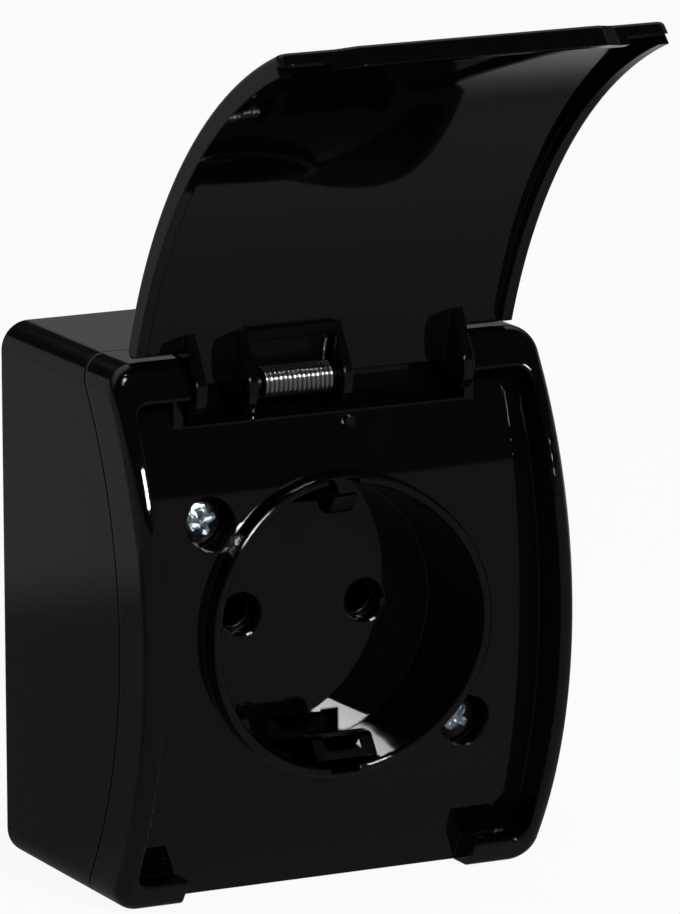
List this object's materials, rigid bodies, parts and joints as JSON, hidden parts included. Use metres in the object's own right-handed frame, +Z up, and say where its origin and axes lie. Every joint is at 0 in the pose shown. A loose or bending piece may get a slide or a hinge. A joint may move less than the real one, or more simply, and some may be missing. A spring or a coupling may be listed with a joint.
{
  "type": "outdoor weatherproof socket",
  "caption": "Surface mounted weatherproof mains socket outlet with a round recessed cup for an earthed plug and a curved sprung lid standing open.",
  "frame": {"origin": "on the wall face, on the axis of the socket cup", "axes": "+X to the right seen from the front, +Y into the wall, +Z up"},
  "size_m": [0.0654, 0.0842, 0.1264],
  "materials": {
    "housing_plastic": "gloss",
    "lid_plastic": "gloss",
    "carrier_plastic": "matte",
    "soft_seal": "matte",
    "zinc_screw": "satin",
    "spring_steel": "satin",
    "contact_brass": "satin",
    "earth_steel": "satin"
  },
  "bodies": {
    "housing": {"base_box": "housing_plastic", "cover_seal": "soft_seal", "cable_grommet": "soft_seal", "earth_strap": "earth_steel", "contact_carrier": "carrier_plastic", "carrier_screws": "zinc_screw", "live_contact": "contact_brass", "neutral_contact": "contact_brass", "live_contact_clip": "spring_steel", "neutral_contact_clip": "spring_steel", "live_clamp": "contact_brass", "neutral_clamp": "contact_brass", "earth_clamp": "contact_brass", "terminal_screws": "zinc_screw", "front_cover": "housing_plastic", "screw_seals": "soft_seal", "cover_screws": "zinc_screw", "hinge_pin": "spring_steel", "lid_spring": "spring_steel"},
    "lid": {"lid": "lid_plastic"}
  },
  "joints": [
    {"name": "lid_hinge", "type": "hinge", "parent": "housing", "child": "lid", "pos_m": [0, -0.0354, 0.0341], "axis": [1, 0, 0], "range_deg": [0, 136.8], "deforming": ["lid_spring"]}
  ]
}
